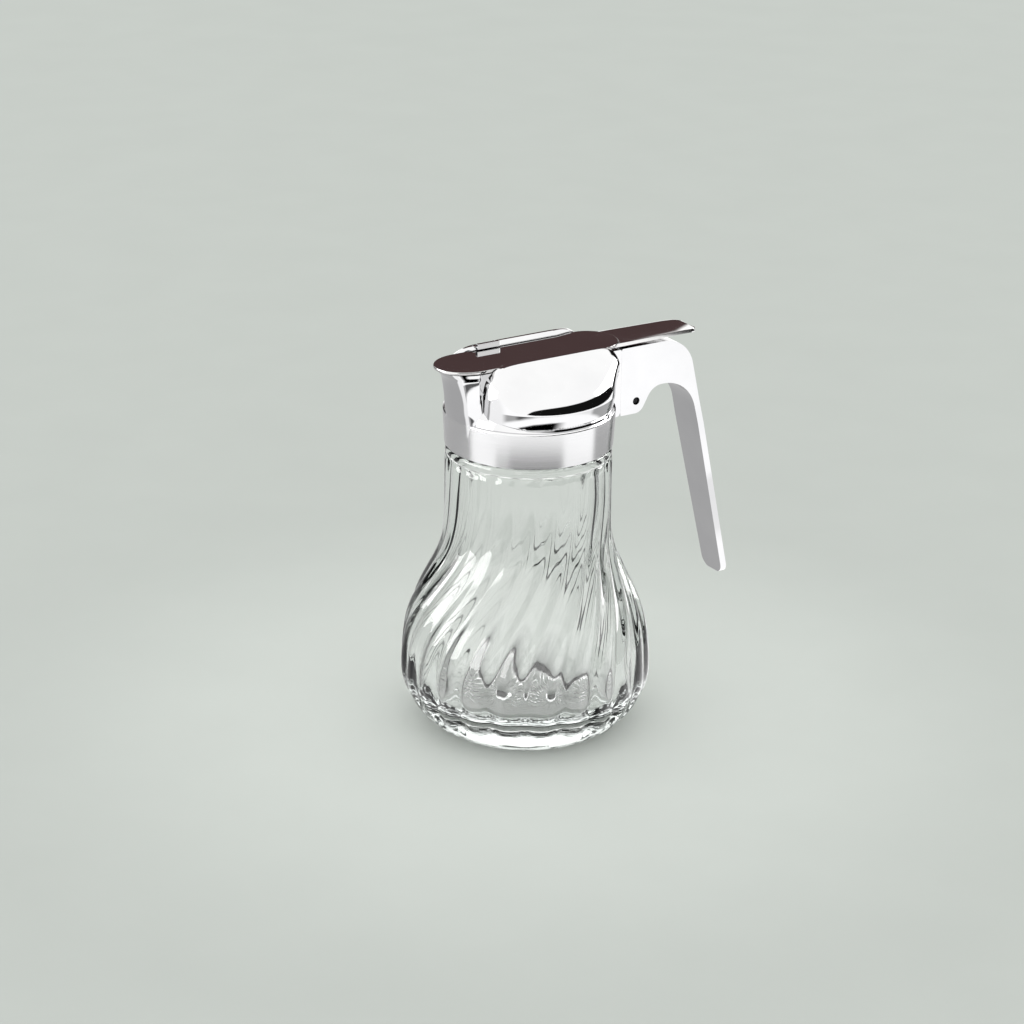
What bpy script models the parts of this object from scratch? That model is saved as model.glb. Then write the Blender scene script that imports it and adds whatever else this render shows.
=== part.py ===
"""Honey dispenser: a fluted glass jar with a chromed pouring head, a sliding lid and a handle.

Run it with: blender --background --python part.py
Sizes are in millimetres; new_object() turns them into metres. The jar's axis is Z, the table is
at Z = 0, the spout points to -X and the handle to +X.
"""
import math

import bmesh
import bpy
from mathutils import Vector

MM = 0.001
GAP = 0.3                      # clearance between pieces that touch

# Glass jar
JAR_HEIGHT = 115.0             # table to mouth rim
FLUTES = 24
STEPS_PER_FLUTE = 4
FLUTE_TWIST = math.radians(36) # how far a flute turns from the neck to the foot
TWIST_Z = (20.0, 95.0)         # the turn happens between these heights
FLUTE_TOP = 100.0              # the flutes start here, under a plain ring
RING_TOP = 103.2
NECK_R = 26.6                  # plain neck inside the collar
# outer crest radius by height, with the depth of the grooves between flutes
JAR_PROFILE = [
    (1.0, 32.6, 0.1), (3.0, 35.4, 0.3), (6.0, 38.2, 0.6), (11.0, 41.5, 1.0), (17.0, 43.6, 1.4),
    (24.0, 44.0, 1.6), (32.0, 43.3, 1.7), (38.0, 42.2, 1.7), (44.0, 40.3, 1.6), (50.0, 37.6, 1.5),
    (56.0, 34.7, 1.3), (62.0, 32.0, 1.2), (68.0, 30.1, 1.1), (74.0, 29.3, 1.0), (82.0, 29.1, 1.0),
    (91.0, 29.0, 1.0), (97.5, 29.0, 0.9), (99.5, 28.6, 0.5),
]
FLOOR_KNOB_R = 4.0
FLOOR_KNOB_TOP = 9.5
FOOT_INNER_R = 28.5
FOOT_OUTER_R = 30.8
FLOOR_Z = 8.0                  # top of the thick glass base
RING_R = 28.9                  # plain ring under the collar
# smooth inner wall, floor first
INNER_PROFILE = [
    (FLOOR_Z, 16.0), (9.0, 26.0), (12.0, 33.5), (17.0, 38.2), (25.0, 39.6), (34.0, 38.6), (44.0, 35.6),
    (54.0, 30.6), (64.0, 26.2), (74.0, 24.6), (88.0, 24.4), (101.0, 23.8), (112.0, 23.4),
]
RECESS_DEPTH = 1.6
BUTTON_R = 5.0                 # centre button under the base, level with the foot

# Pouring head
COLLAR_BOTTOM = 103.5
COLLAR_TOP = 116.3
COLLAR_R_BOTTOM = 29.2
COLLAR_R_TOP = 29.8
DOME_TOP = 125.5               # shoulder dome over the collar
DOME_R = 28.8
DOME_FLAT_R = 16.0
DECK_Z = 134.7                 # top face of the spout housing, under the lid
CHEEK_X = (-24.9, 27.6)
CHEEK_CREST_Y = 13.0
CHEEK_TOP = 137.2
CHEEK_BELT_Z = 121.5           # widest level of the cheeks
CHEEK_BELT_R = 29.9
CHEEK_BOTTOM = 113.0
CHEEK_CORE = (12.0, 123.0)     # y and z that the cheeks' end sections shrink to
LIP_Y = 9.4                    # the cheeks' lips reach in over the lid to here
SLOT_Y = 10.6
SLOT_TOP = 136.3
PAD_X = 33.1                   # flat pad that carries the handle
PAD_Y = 7.2
PAD_Z = (108.6, 133.0)
BORE_R = 27.0
BORE_TOP = 115.4
# spout by height: radius of its bowed front, half width, and how far it has become a leaf
SPOUT_SECTIONS = [
    (110.0, 28.8, 10.4, 0.0), (115.5, 29.3, 10.6, 0.0), (117.5, 29.8, 10.7, 0.0),
    (121.0, 30.2, 10.6, 0.0), (125.0, 30.8, 10.5, 0.02), (128.5, 31.3, 10.4, 0.1),
    (131.5, 31.8, 10.3, 0.38), (133.4, 32.0, 10.3, 0.72), (DECK_Z, 32.0, 10.4, 1.0),
]
LEAF_TIP_X = -36.4
LEAF_NOSE_X = -25.0
SPOUT_WALL = 2.2
HOUSING_BACK = 27.0
PASSAGE_BACK = (14.0, -8.0)    # back end of the room inside the spout, at its foot and its top

# Handle
HANDLE_X = 33.4
HANDLE_Y = 6.8                 # half width of the block
HANDLE_TOP = 133.0
LUG_BOTTOM = 108.4
LEG_SLOPE = 0.2335             # outward lean of the leg per unit of height
LEG_OUTER_X = 61.5             # outer line of the leg, carried up to the handle's top
LEG_THICKNESS = 2.4
LEG_BOTTOM = 38.6
LEG_END_R = 4.2
ARCH_TOP = 117.4               # top of the finger arch under the handle
LEG_WIDE = (7.1, 100.0)        # half width of the leg near its top, and that height
LEG_END_Y = 5.8
PIN_CENTRE = (40.0, 112.9)
PIN_HOLE_R = 1.4
PIN_R = 1.1
PIN_RECESS = 0.8

# Slide: lid leaf and thumb tab
LID_Z = (135.0, 136.0)
LID_TIP_X = -37.2
LID_NOSE_X = -25.0
LID_Y = 10.2
LID_REAR_X = 24.0
TAB_X = (18.0, 66.0)
TAB_Y = 7.5
TAB_END_Y = 6.2
TAB_TOP = 135.5
TAB_THICKNESS = 1.2
TAB_DISH = 0.7
TAB_DROOP = 1.0

# Keeper block in a notch of the far lip
KEEPER_X = (-19.0, -8.0)
KEEPER_Y = (8.6, 13.0)
KEEPER_Z = (136.4, 138.2)

CHROME = ((0.86, 0.87, 0.88), 0.08, 1.0)
DARK_MIRROR = ((0.10, 0.07, 0.07), 0.06, 1.0)
GLASS = ((0.88, 0.93, 0.91), 0.03, 0.0)
BLACK = ((0.02, 0.02, 0.02), 0.5, 0.0)


def clear_scene():
    for thing in list(bpy.data.objects):
        bpy.data.objects.remove(thing, do_unlink=True)


def make_material(name, finish):
    colour, roughness, metallic = finish
    material = bpy.data.materials.new(name)
    material.use_nodes = True
    shader = material.node_tree.nodes["Principled BSDF"]
    shader.inputs["Base Color"].default_value = (*colour, 1.0)
    shader.inputs["Roughness"].default_value = roughness
    shader.inputs["Metallic"].default_value = metallic
    if finish is GLASS:
        shader.inputs["Transmission Weight"].default_value = 1.0
    return material


def new_object(name, mesh_builder, finish=None, smooth_angle=35):
    """Make an object from a bmesh in millimetres. Without a finish it is only a cutter."""
    bmesh.ops.scale(mesh_builder, vec=Vector((MM, MM, MM)), verts=mesh_builder.verts)
    bmesh.ops.recalc_face_normals(mesh_builder, faces=mesh_builder.faces)
    mesh = bpy.data.meshes.new(name)
    mesh_builder.to_mesh(mesh)
    mesh_builder.free()
    mesh.shade_smooth()
    mesh.set_sharp_from_angle(angle=math.radians(smooth_angle))
    thing = bpy.data.objects.new(name, mesh)
    bpy.context.scene.collection.objects.link(thing)
    if finish:
        mesh.materials.append(make_material(name + "_finish", finish))
    else:
        thing.hide_render = True
        thing.display_type = "WIRE"
    return thing


def skin(rings, cap_ends=True):
    """Closed skin over a list of rings. A ring may have half as many points as the next one."""
    shape = bmesh.new()
    rows = [[shape.verts.new(point) for point in ring] for ring in rings]
    for lower, upper in zip(rows, rows[1:]):
        fine, coarse = (lower, upper) if len(lower) >= len(upper) else (upper, lower)
        join_rings(shape, fine, coarse)
    if cap_ends:
        for row in (rows[0], rows[-1]):
            if len(row) > 1:
                shape.faces.new(row)
    return shape


def join_rings(shape, fine, coarse):
    count = len(fine)
    if len(coarse) == 1:
        for i in range(count):
            shape.faces.new((fine[i], fine[(i + 1) % count], coarse[0]))
    elif len(coarse) == count:
        for i in range(count):
            j = (i + 1) % count
            shape.faces.new((fine[i], fine[j], coarse[j], coarse[i]))
    else:
        for i in range(len(coarse)):
            j = (i + 1) % len(coarse)
            shape.faces.new((fine[2 * i], fine[2 * i + 1], coarse[i]))
            shape.faces.new((fine[2 * i + 1], fine[(2 * i + 2) % count], coarse[j], coarse[i]))


def circle(radius, z, count):
    turn = 2 * math.pi / count
    return [(radius * math.cos(i * turn), radius * math.sin(i * turn), z) for i in range(count)]


def prism(outline, low, high, axis="z"):
    """Straight prism over an outline. Along y the outline holds x and z, along x it holds y and z."""
    place = {
        "z": lambda a, b, c: (a, b, c),
        "y": lambda a, b, c: (a, c, b),
        "x": lambda a, b, c: (c, a, b),
    }[axis]
    return skin([[place(a, b, level) for a, b in outline] for level in (low, high)])


def box(x_range, y_range, z_range):
    outline = [(x_range[0], y_range[0]), (x_range[1], y_range[0])]
    outline += [(x_range[1], y_range[1]), (x_range[0], y_range[1])]
    return prism(outline, *z_range)


def rounded(corners, steps=5):
    """Outline through corners given as (a, b, radius), with an arc at each corner that has one."""
    outline = []
    for i, (a, b, radius) in enumerate(corners):
        corner = Vector((a, b))
        if radius == 0:
            outline.append((a, b))
            continue
        to_last = (Vector(corners[i - 1][:2]) - corner).normalized()
        to_next = (Vector(corners[(i + 1) % len(corners)][:2]) - corner).normalized()
        half_angle = to_last.angle(to_next) / 2
        centre = corner + (to_last + to_next).normalized() * radius / math.sin(half_angle)
        start = corner + to_last * radius / math.tan(half_angle) - centre
        end = corner + to_next * radius / math.tan(half_angle) - centre
        first = math.atan2(start.y, start.x)
        turn = (math.atan2(end.y, end.x) - first + math.pi) % (2 * math.pi) - math.pi
        for k in range(steps + 1):
            angle = first + turn * k / steps
            outline.append((centre.x + radius * math.cos(angle), centre.y + radius * math.sin(angle)))
    return outline


def combine(base, other, operation):
    """Boolean of base with a hidden operand, kept as a modifier."""
    modifier = base.modifiers.new(other.name, "BOOLEAN")
    modifier.operation = operation
    modifier.solver = "EXACT"
    modifier.object = other


# Glass jar

def twist_at(z):
    """Angle of a flute at height z: it turns fastest where the neck opens into the bulb."""
    t = min(max((TWIST_Z[1] - z) / (TWIST_Z[1] - TWIST_Z[0]), 0.0), 1.0)
    return -FLUTE_TWIST * t ** 3 * (t * (6 * t - 15) + 10)


def fluted_ring(z, crest, depth):
    """Ring of rounded ribs that meet in grooves."""
    count = FLUTES * STEPS_PER_FLUTE
    ring = []
    for i in range(count):
        across = (i % STEPS_PER_FLUTE) / STEPS_PER_FLUTE
        radius = crest - depth * (2 * across - 1) ** 2
        angle = 2 * math.pi * i / count + twist_at(z)
        ring.append((radius * math.cos(angle), radius * math.sin(angle), z))
    return ring


def plain_ring(z, radius):
    return fluted_ring(z, radius, 0.0)


def half_ring(z, radius):
    """Ring with half the points, in line with the fluted rings at the same height."""
    return plain_ring(z, radius)[::2]


def build_jar():
    rings = [
        [(0, 0, 0)], half_ring(0.0, BUTTON_R), half_ring(RECESS_DEPTH, BUTTON_R + 0.8),
        half_ring(RECESS_DEPTH, FOOT_INNER_R - 1.5), half_ring(0.0, FOOT_INNER_R + 0.8),
        plain_ring(0.0, FOOT_OUTER_R),
    ]
    rings += [fluted_ring(*row) for row in JAR_PROFILE]
    rings += [
        plain_ring(FLUTE_TOP + 0.2, RING_R), plain_ring(RING_TOP - 0.4, RING_R),
        plain_ring(RING_TOP, NECK_R), plain_ring(JAR_HEIGHT - 0.8, NECK_R),
        plain_ring(JAR_HEIGHT, NECK_R - 0.8), half_ring(JAR_HEIGHT, INNER_PROFILE[-1][1] + 0.5),
    ]
    rings += [half_ring(z, radius) for z, radius in reversed(INNER_PROFILE)]
    rings += [
        half_ring(FLOOR_Z, FLOOR_KNOB_R + 1.5), half_ring(FLOOR_KNOB_TOP - 0.3, FLOOR_KNOB_R - 1.0),
        [(0, 0, FLOOR_KNOB_TOP)],
    ]
    return new_object("glass_jar", skin(rings), GLASS)


# Pouring head

def build_collar_and_dome():
    profile = [(COLLAR_R_BOTTOM, COLLAR_BOTTOM), (COLLAR_R_TOP, COLLAR_TOP - 0.6)]
    profile += [(COLLAR_R_TOP - 0.15, COLLAR_TOP - 0.15), (COLLAR_R_TOP - 0.6, COLLAR_TOP)]
    for step in range(1, 7):
        angle = math.radians(90) * step / 6
        radius = DOME_FLAT_R + (DOME_R - DOME_FLAT_R) * math.cos(angle)
        profile.append((radius, COLLAR_TOP + (DOME_TOP - COLLAR_TOP) * math.sin(angle)))
    rings = [circle(radius, z, 72) for radius, z in profile]
    return skin(rings)


def spout_section(z, radius, half_width, leaf, back, inset=0.0, steps=8):
    """Level section of the spout: its front follows the collar's circle low down and is a leaf on top."""
    section = []
    for i in range(2 * steps + 1):
        across = math.sin(math.radians(90) * (i - steps) / steps)
        y = half_width * across
        bow = -math.sqrt(radius ** 2 - y ** 2) + 4.0 * abs(across) ** 10
        point = LEAF_NOSE_X - (LEAF_NOSE_X - LEAF_TIP_X) * math.sqrt(max(1 - across ** 2, 0.0))
        section.append((bow + (point - bow) * leaf + inset, y * (1 - inset / half_width), z))
    width = half_width - inset
    section += [(back, width, z), (back, -width, z)]
    return section


def build_spout():
    rings = []
    for z, radius, half_width, leaf in SPOUT_SECTIONS:
        back = min(HOUSING_BACK, math.sqrt(DOME_R ** 2 - half_width ** 2))
        rings.append(spout_section(z, radius, half_width, leaf, back))
    return skin(rings)


def build_spout_passage():
    """Room inside the spout, from the glass mouth up to the pouring hole."""
    low = SPOUT_SECTIONS[1][0]
    rings = []
    for z, radius, half_width, leaf in SPOUT_SECTIONS[1:]:
        back = PASSAGE_BACK[0] + (PASSAGE_BACK[1] - PASSAGE_BACK[0]) * (z - low) / (DECK_Z - low)
        rings.append(spout_section(z, radius, half_width, leaf, back, SPOUT_WALL))
    radius, half_width, leaf = SPOUT_SECTIONS[-1][1:]
    rings.append(spout_section(DECK_Z + 1.0, radius, half_width, leaf, PASSAGE_BACK[1], SPOUT_WALL))
    return skin(rings)


def cheek_section(x, scale, side):
    """Upright section of a cheek at x: flat inside, full and rounded outside."""
    reach = math.sqrt(CHEEK_BELT_R ** 2 - x ** 2)
    points = [(5.0, CHEEK_BOTTOM), (5.0, CHEEK_TOP - 1.4), (9.0, CHEEK_TOP - 0.5)]
    for step in range(7):
        angle = math.radians(90) * step / 6
        y = CHEEK_CREST_Y + (reach - CHEEK_CREST_Y) * math.sin(angle) ** 0.92
        z = CHEEK_BELT_Z + (CHEEK_TOP - CHEEK_BELT_Z) * math.cos(angle) ** 0.92
        points.append((y, z))
    points += [(reach - 0.5, CHEEK_BELT_Z - 3.0), (reach - 2.2, CHEEK_BELT_Z - 6.0)]
    points.append((reach - 5.0, CHEEK_BOTTOM))
    section = []
    for y, z in points:
        y = CHEEK_CORE[0] + (y - CHEEK_CORE[0]) * scale
        z = CHEEK_CORE[1] + (z - CHEEK_CORE[1]) * scale
        section.append((x, side * y, z))
    return section


def build_cheek(side):
    """Pillow-shaped cheek: sections that shrink quickly towards both ends."""
    middle = sum(CHEEK_X) / 2
    half = (CHEEK_X[1] - CHEEK_X[0]) / 2
    rings = []
    ends = [0.55, 0.76, 0.88, 0.95, 0.985, 0.999]
    for place in [-x for x in reversed(ends)] + [-0.25, 0.25] + ends:
        flatness, roundness = (7, 3.2) if place < 0 else (11, 4.0)
        scale = (1 - abs(place) ** flatness) ** (1 / roundness)
        rings.append(cheek_section(middle + half * place, scale, side))
    return skin(rings)


def build_lip_window():
    """Opening between the lips, wider at both ends."""
    half = [(-40.0, SLOT_Y), (-24.5, SLOT_Y), (-19.0, LIP_Y)]
    half += [(17.0, LIP_Y), (24.0, SLOT_Y), (45.0, SLOT_Y)]
    outline = half + [(x, -y) for x, y in reversed(half)]
    return prism(outline, SLOT_TOP - 1.0, CHEEK_TOP + 4.0)


def build_head():
    head = new_object("pouring_head", build_collar_and_dome(), CHROME)
    low, high = PAD_Z
    pad = rounded([(20.0, low, 0), (PAD_X, low, 1.5), (PAD_X, high, 0.8), (20.0, high, 0)], 2)
    added = [
        ("spout_form", build_spout()),
        ("pad_form", prism(pad, -PAD_Y, PAD_Y, "y")),
        ("near_cheek_form", build_cheek(-1)),
        ("far_cheek_form", build_cheek(1)),
    ]
    for name, shape in added:
        combine(head, new_object(name, shape), "UNION")
    bore = skin([circle(BORE_R, COLLAR_BOTTOM - 2.0, 60), circle(BORE_R, BORE_TOP, 60)])
    notch_y = (LIP_Y - 1.2, KEEPER_Y[1] + GAP)
    removed = [
        ("neck_bore", bore),
        ("spout_passage", build_spout_passage()),
        ("lid_slot", box((-50.0, 50.0), (-SLOT_Y, SLOT_Y), (DECK_Z, SLOT_TOP))),
        ("lip_window", build_lip_window()),
        ("tab_channel", box((TAB_X[0] - 2.0, 50.0), (-TAB_Y - 0.6, TAB_Y + 0.6), (133.6, SLOT_TOP))),
        ("keeper_notch", box((KEEPER_X[0] - GAP, KEEPER_X[1] + GAP), notch_y, (SLOT_TOP - 0.2, 145.0))),
    ]
    for name, shape in removed:
        combine(head, new_object(name, shape), "DIFFERENCE")
    return head


# Handle

def leg_line(z, inset=0.0):
    """x of the leg's outer line at height z, moved inwards by inset."""
    return LEG_OUTER_X + LEG_SLOPE * (HANDLE_TOP - z) - inset * math.sqrt(1 + LEG_SLOPE ** 2)


def build_handle():
    side = rounded([
        (HANDLE_X, HANDLE_TOP, 0.6),
        (HANDLE_X, LUG_BOTTOM, 0.6),
        (41.9, LUG_BOTTOM, 2.5),
        (46.9, ARCH_TOP, 4.5),
        (leg_line(ARCH_TOP, LEG_THICKNESS), ARCH_TOP, 14.0),
        (leg_line(LEG_BOTTOM, LEG_THICKNESS), LEG_BOTTOM, 0.5),
        (leg_line(LEG_BOTTOM), LEG_BOTTOM, 0.5),
        (leg_line(HANDLE_TOP), HANDLE_TOP, 13.0),
    ], 6)
    handle = new_object("handle", prism(side, -HANDLE_Y - 2.0, HANDLE_Y + 2.0, "y"), CHROME)
    face = rounded([
        (-HANDLE_Y, HANDLE_TOP + 5.0, 0), (-HANDLE_Y, LUG_BOTTOM, 0),
        (-LEG_WIDE[0], LEG_WIDE[1], 0), (-LEG_END_Y, LEG_BOTTOM, LEG_END_R),
        (LEG_END_Y, LEG_BOTTOM, LEG_END_R), (LEG_WIDE[0], LEG_WIDE[1], 0),
        (HANDLE_Y, LUG_BOTTOM, 0), (HANDLE_Y, HANDLE_TOP + 5.0, 0),
    ], 6)
    combine(handle, new_object("handle_width", prism(face, HANDLE_X - 5.0, 95.0, "x")), "INTERSECT")
    hole = [(PIN_CENTRE[0] + x, PIN_CENTRE[1] + z) for x, z, _ in circle(PIN_HOLE_R, 0, 20)]
    combine(handle, new_object("pin_hole", prism(hole, -12.0, 12.0, "y")), "DIFFERENCE")
    edges = handle.modifiers.new("soft_edges", "BEVEL")
    edges.width = 0.5 * MM
    edges.segments = 2
    edges.limit_method = "ANGLE"
    edges.angle_limit = math.radians(50)
    pin = [(PIN_CENTRE[0] + x, PIN_CENTRE[1] + z) for x, z, _ in circle(PIN_R, 0, 16)]
    reach = HANDLE_Y - PIN_RECESS
    new_object("handle_pin", prism(pin, -reach, reach, "y"), BLACK)
    return handle


# Slide

def build_leaf():
    steps = 12
    outline = []
    for i in range(2 * steps + 1):
        angle = math.radians(90) * (i - steps) / steps
        x = LID_NOSE_X - (LID_NOSE_X - LID_TIP_X) * math.cos(angle)
        outline.append((x, LID_Y * math.sin(angle)))
    for i in range(2 * steps + 1):
        angle = math.radians(90) * (steps - i) / steps
        outline.append((LID_REAR_X + LID_Y * math.cos(angle), LID_Y * math.sin(angle)))
    return prism(outline, *LID_Z)


def tab_half_width(x):
    """Half width of the thumb tab, with rounded corners at its end."""
    taper = min(max((x - 34.0) / (TAB_X[1] - 34.0), 0.0), 1.0)
    width = TAB_Y + (TAB_END_Y - TAB_Y) * taper
    corner = 3.0
    over = x - (TAB_X[1] - corner)
    if over > 0:
        width -= corner - math.sqrt(max(corner ** 2 - over ** 2, 0.0))
    return width


def build_tab():
    """Thumb tab: a strip that is dished along its middle and droops at its end."""
    stations = [TAB_X[0], 31.0, 36.0, 42.0, 50.0, 57.0, 60.0, 63.0, 64.5, 65.6, TAB_X[1]]
    rings = []
    for x in stations:
        width = tab_half_width(x)
        dish = TAB_DISH * min(max((x - 33.0) / 6.0, 0.0), 1.0)
        droop = TAB_DROOP * max((x - 57.0) / (TAB_X[1] - 57.0), 0.0) ** 2
        top = []
        for k in range(7):
            across = -1 + k / 3
            z = TAB_TOP - droop - dish * (1 - across ** 2)
            top.append((x, width * across, z))
        bottom = [(x, y, z - TAB_THICKNESS) for x, y, z in reversed(top)]
        rings.append(top + bottom)
    return skin(rings)


def build_slide():
    slide = new_object("slide_plate", build_leaf(), DARK_MIRROR)
    combine(slide, new_object("tab_form", build_tab()), "UNION")
    return slide


def build_keeper():
    return new_object("keeper_block", box(KEEPER_X, KEEPER_Y, KEEPER_Z), CHROME)


clear_scene()
build_jar()
build_head()
build_handle()
build_slide()
build_keeper()
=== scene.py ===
import math

import bmesh
import bpy
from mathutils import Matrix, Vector


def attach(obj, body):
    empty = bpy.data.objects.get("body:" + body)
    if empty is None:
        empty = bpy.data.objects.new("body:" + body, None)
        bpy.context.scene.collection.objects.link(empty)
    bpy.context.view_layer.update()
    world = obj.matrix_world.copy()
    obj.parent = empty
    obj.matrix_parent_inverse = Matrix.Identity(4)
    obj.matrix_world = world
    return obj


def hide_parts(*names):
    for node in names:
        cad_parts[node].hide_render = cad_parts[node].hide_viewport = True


# Honey dispenser: twisted glass jar, chromed pouring head, handle and sliding lid.
# The jar's axis is z, the spout points to -x and the handle to +x.
# Shapes are drawn in millimetres, and finishMesh() turns them into metres.

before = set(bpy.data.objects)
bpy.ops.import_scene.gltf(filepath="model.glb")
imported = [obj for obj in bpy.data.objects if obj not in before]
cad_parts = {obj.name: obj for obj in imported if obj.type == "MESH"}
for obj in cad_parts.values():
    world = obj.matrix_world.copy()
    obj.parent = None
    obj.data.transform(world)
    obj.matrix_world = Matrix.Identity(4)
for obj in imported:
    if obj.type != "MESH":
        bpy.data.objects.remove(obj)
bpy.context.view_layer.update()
mm = 0.001
clearance = 0.3  # between pieces that touch, as in the CAD part
print("frame loaded:", ", ".join(sorted(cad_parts)))


# Small tools for meshes

def finishMesh(name, shape, smoothAngle=32):
    bmesh.ops.scale(shape, vec=Vector((mm, mm, mm)), verts=shape.verts)
    bmesh.ops.recalc_face_normals(shape, faces=shape.faces)
    mesh = bpy.data.meshes.new(name)
    shape.to_mesh(mesh)
    shape.free()
    mesh.shade_smooth()
    mesh.set_sharp_from_angle(angle=math.radians(smoothAngle))
    thing = bpy.data.objects.new(name, mesh)
    bpy.context.scene.collection.objects.link(thing)
    return thing


def skin(rings):
    # closed skin over rings of equal length; a ring of one point is a pole
    shape = bmesh.new()
    rows = [[shape.verts.new(point) for point in ring] for ring in rings]
    for low, high in zip(rows, rows[1:]):
        count = max(len(low), len(high))
        for i in range(count):
            j = (i + 1) % count
            if len(high) == 1:
                shape.faces.new((low[i], low[j], high[0]))
            elif len(low) == 1:
                shape.faces.new((low[0], high[j], high[i]))
            else:
                shape.faces.new((low[i], low[j], high[j], high[i]))
    for row in (rows[0], rows[-1]):
        if len(row) > 1:
            shape.faces.new(row)
    return shape


def ringAt(radius, z, count):
    turn = 2 * math.pi / count
    return [(radius * math.cos(i * turn), radius * math.sin(i * turn), z) for i in range(count)]


def prism(outline, low, high, axis="z"):
    # along y the outline holds x and z, along x it holds y and z
    if axis == "y":
        return skin([[(a, level, b) for a, b in outline] for level in (low, high)])
    if axis == "x":
        return skin([[(level, a, b) for a, b in outline] for level in (low, high)])
    return skin([[(a, b, level) for a, b in outline] for level in (low, high)])


def block(xRange, yRange, zRange):
    outline = [(xRange[0], yRange[0]), (xRange[1], yRange[0])]
    outline += [(xRange[1], yRange[1]), (xRange[0], yRange[1])]
    return prism(outline, *zRange)


def roundedOutline(corners, steps=16):
    # corners are (a, b, radius), and each one with a radius gets an arc
    outline = []
    for i, (a, b, radius) in enumerate(corners):
        corner = Vector((a, b))
        if radius == 0:
            outline.append((a, b))
            continue
        toLast = (Vector(corners[i - 1][:2]) - corner).normalized()
        toNext = (Vector(corners[(i + 1) % len(corners)][:2]) - corner).normalized()
        halfAngle = toLast.angle(toNext) / 2
        centre = corner + (toLast + toNext).normalized() * radius / math.sin(halfAngle)
        start = corner + toLast * radius / math.tan(halfAngle) - centre
        end = corner + toNext * radius / math.tan(halfAngle) - centre
        first = math.atan2(start.y, start.x)
        turn = (math.atan2(end.y, end.x) - first + math.pi) % (2 * math.pi) - math.pi
        for k in range(steps + 1):
            angle = first + turn * k / steps
            outline.append((centre.x + radius * math.cos(angle), centre.y + radius * math.sin(angle)))
    return outline


def smoothRows(rows, steps):
    # Catmull-Rom through rows of numbers, with steps between each two rows
    result = []
    for i in range(len(rows) - 1):
        before, a, b, after = rows[max(i - 1, 0)], rows[i], rows[i + 1], rows[min(i + 2, len(rows) - 1)]
        for k in range(steps):
            t = k / steps
            row = []
            for p, q, r, s in zip(before, a, b, after):
                bend = 2 * p - 5 * q + 4 * r - s
                row.append(0.5 * (2 * q + (r - p) * t + bend * t * t + (3 * q - p - 3 * r + s) * t ** 3))
            result.append(tuple(row))
    result.append(tuple(rows[-1]))
    return result


def bakeModifiers(thing, smoothAngle=32):
    graph = bpy.context.evaluated_depsgraph_get()
    mesh = bpy.data.meshes.new_from_object(thing.evaluated_get(graph))
    thing.modifiers.clear()
    thing.data = mesh
    mesh.name = thing.name
    if smoothAngle:
        mesh.shade_smooth()
        mesh.set_sharp_from_angle(angle=math.radians(smoothAngle))


def combine(base, others, operation):
    # others are (name, shape) pairs, used up one after the other
    helpers = []
    for name, shape in others:
        other = finishMesh(name, shape)
        change = base.modifiers.new(name, "BOOLEAN")
        change.operation = operation
        change.solver = "MANIFOLD"
        change.object = other
        helpers.append(other)
    bakeModifiers(base)
    for other in helpers:
        bpy.data.objects.remove(other, do_unlink=True)


def softenEdges(thing, width, segments=3, angle=40):
    bevel = thing.modifiers.new("softEdges", "BEVEL")
    bevel.width = width * mm
    bevel.segments = segments
    bevel.limit_method = "ANGLE"
    bevel.angle_limit = math.radians(angle)
    bevel.harden_normals = True
    bakeModifiers(thing, None)


def weightNormals(thing):
    # big flat faces keep their own direction, and only the small ones between them bend
    weights = thing.modifiers.new("flatFaces", "WEIGHTED_NORMAL")
    weights.weight = 100
    weights.keep_sharp = True
    bakeModifiers(thing, None)


# Small tools for nodes

def addNode(tree, kind, inputs=None, **settings):
    made = tree.nodes.new(kind)
    for name, value in settings.items():
        setattr(made, name, value)
    for socket, value in (inputs or {}).items():
        if isinstance(value, bpy.types.NodeSocket):
            tree.links.new(value, made.inputs[socket])
        else:
            made.inputs[socket].default_value = value
    return made


def calc(tree, operation, *values):
    return addNode(tree, "ShaderNodeMath", dict(enumerate(values)), operation=operation).outputs[0]


def newMaterial(name, colour, roughness, metallic=0.0):
    material = bpy.data.materials.new(name)
    material.use_nodes = True
    shader = material.node_tree.nodes["Principled BSDF"]
    shader.inputs["Base Color"].default_value = (*colour, 1.0)
    shader.inputs["Roughness"].default_value = roughness
    shader.inputs["Metallic"].default_value = metallic
    return material, material.node_tree, shader


def noiseAt(tree, scale, detail=2.0, stretch=(1.0, 1.0, 1.0)):
    # noise on object coordinates, in features per metre
    coords = addNode(tree, "ShaderNodeTexCoord")
    mapping = addNode(tree, "ShaderNodeMapping", {"Vector": coords.outputs["Object"], "Scale": stretch})
    inputs = {"Vector": mapping.outputs[0], "Scale": scale, "Detail": detail}
    return addNode(tree, "ShaderNodeTexNoise", inputs).outputs[0]


def remap(tree, value, low, high, fromLow=0.3, fromHigh=0.7):
    made = addNode(tree, "ShaderNodeMapRange", {0: value, 1: fromLow, 2: fromHigh, 3: low, 4: high})
    return made.outputs[0]


def tint(tree, value, dark, light):
    # colour between two others by a value from 0 to 1
    ramp = addNode(tree, "ShaderNodeValToRGB", {0: value})
    ramp.color_ramp.elements[0].position = 0.3
    ramp.color_ramp.elements[0].color = (*dark, 1.0)
    ramp.color_ramp.elements[1].position = 0.7
    ramp.color_ramp.elements[1].color = (*light, 1.0)
    return ramp.outputs[0]


def bumpFrom(tree, height, strength, depth):
    inputs = {"Height": height, "Strength": strength, "Distance": depth * mm}
    return addNode(tree, "ShaderNodeBump", inputs).outputs[0]


# Finishes

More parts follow.
